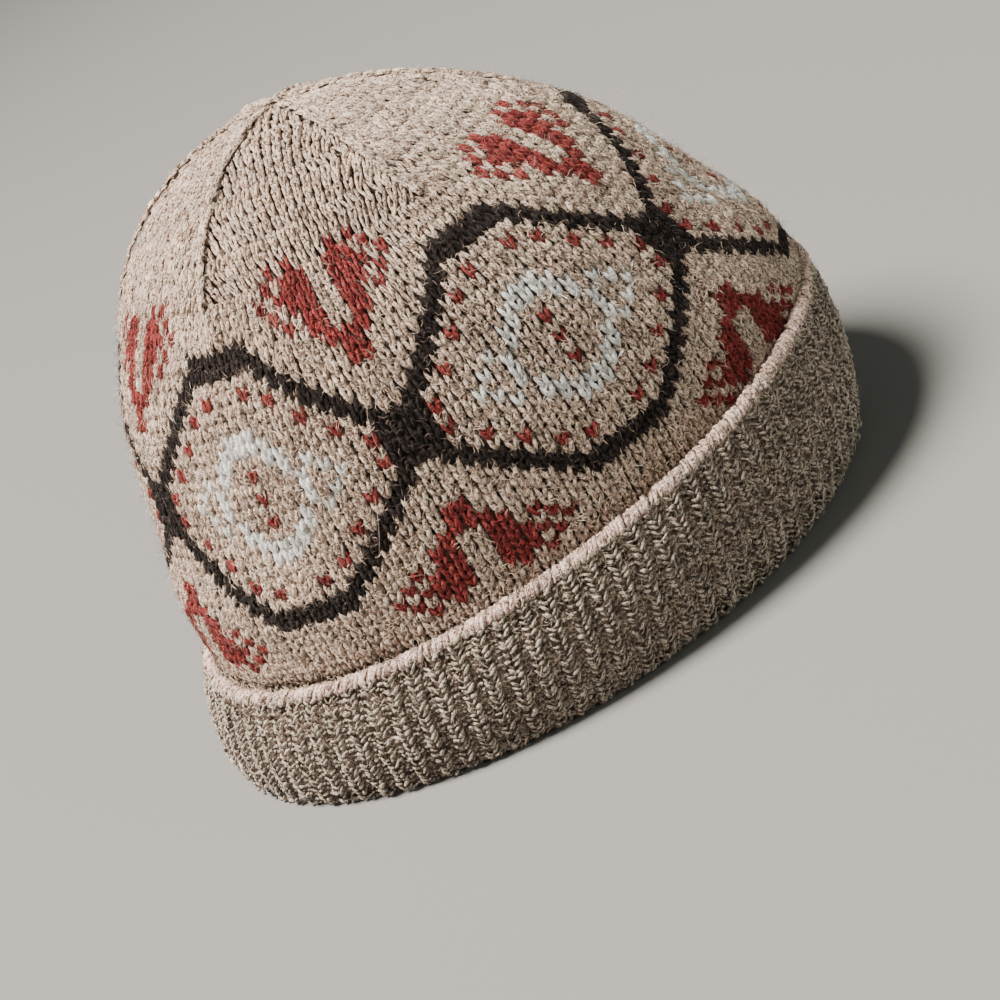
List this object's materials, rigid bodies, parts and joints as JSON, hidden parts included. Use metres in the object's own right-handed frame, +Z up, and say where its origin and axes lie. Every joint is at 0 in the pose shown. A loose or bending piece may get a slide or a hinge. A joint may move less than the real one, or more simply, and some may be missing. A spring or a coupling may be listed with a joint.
{
  "type": "beanie",
  "caption": "Knitted wool beanie with a turned-up ribbed cuff, a stranded colour band of linked hexagons and a gored crown.",
  "frame": {"origin": "middle of the hat's footprint box, on the surface that the fold of the cuff rests on", "axes": "+Z up to the tip of the crown, +X towards the wearer's front, +Y towards the wearer's left"},
  "size_m": [0.2192, 0.183, 0.1636],
  "materials": {
    "body_wool": "knitted heather wool with dark brown, brick red and pale mint yarns, fuzzy and matt",
    "cuff_wool": "ribbed grey-brown heather wool, fuzzy and matt"
  },
  "bodies": {
    "root": {"crown": "body_wool", "cuff": "cuff_wool"}
  },
  "joints": []
}
